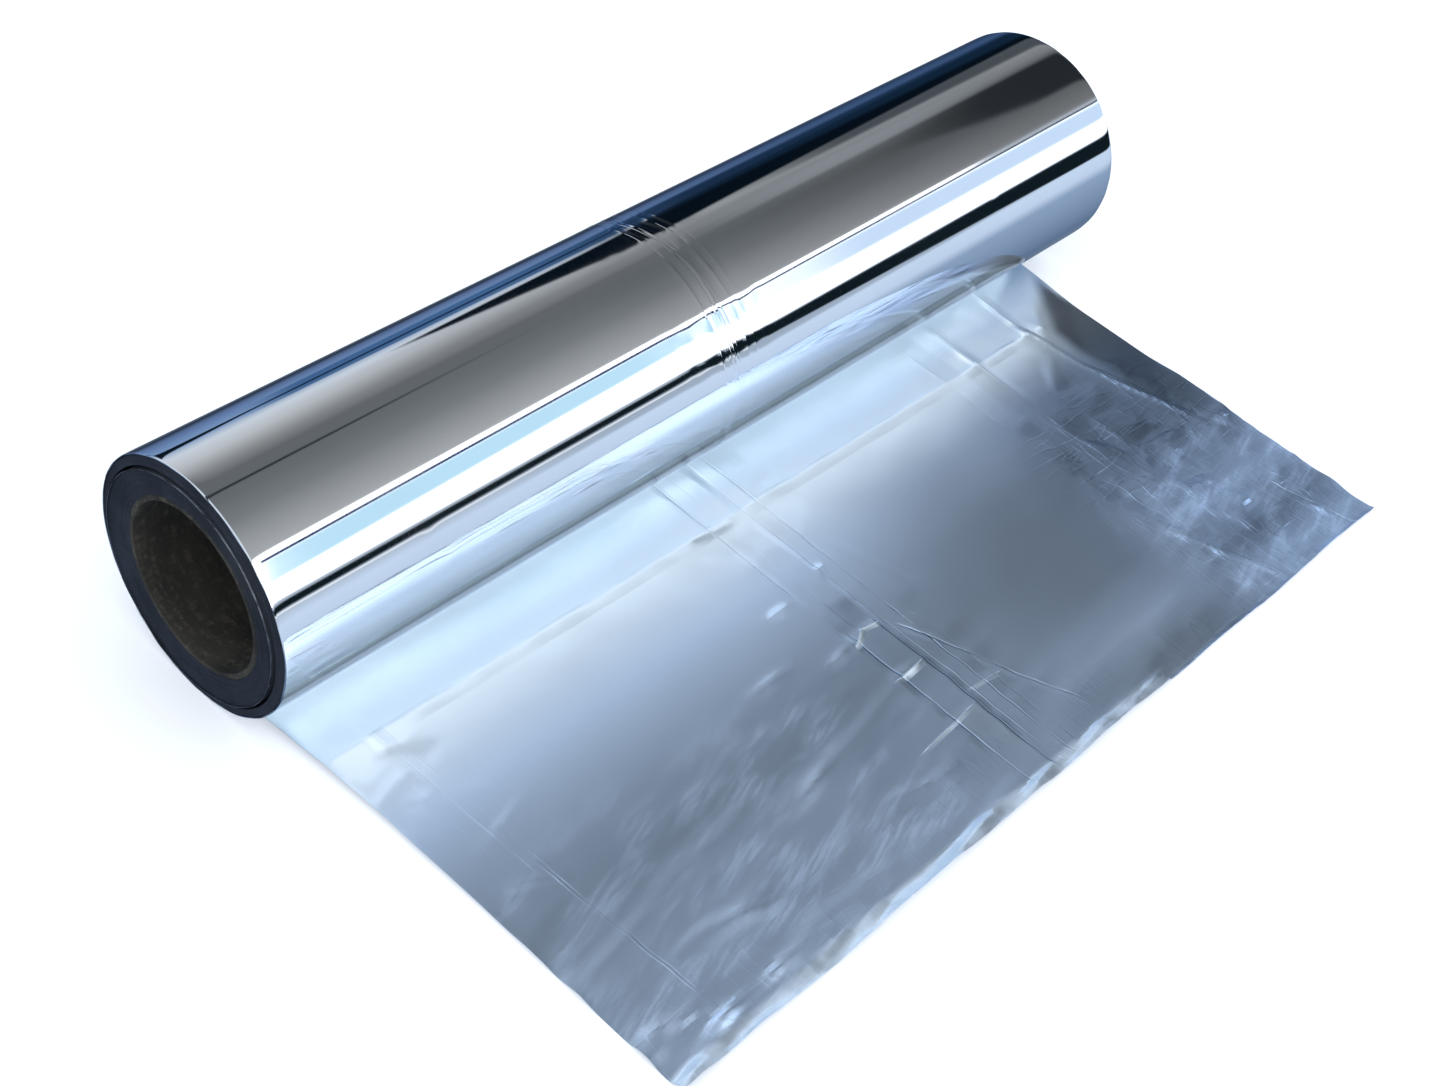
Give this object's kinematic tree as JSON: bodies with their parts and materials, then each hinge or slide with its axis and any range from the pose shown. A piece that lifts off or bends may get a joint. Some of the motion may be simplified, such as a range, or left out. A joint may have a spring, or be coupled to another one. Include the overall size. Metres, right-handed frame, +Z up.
{
  "type": "aluminium foil roll",
  "caption": "Wound roll of aluminium foil on a card core, lying on its side, with a length of sheet drawn out flat in front of it.",
  "frame": {"origin": "on the surface that the roll lies on, straight under the roll's axis and half-way along it", "axes": "+X along the roll's axis, -Y the way the sheet is drawn out, +Z up from the surface"},
  "size_m": [0.3, 0.1794, 0.0644],
  "materials": {
    "core_card": "dull dark card with a fine fibrous grain",
    "foil": "mirror-bright on the roll's outside and the sheet's underside, satin on the sheet's upper side, dark wound edges"
  },
  "bodies": {
    "root": {"core_tube": "core_card", "foil_web": "foil"}
  },
  "joints": []
}
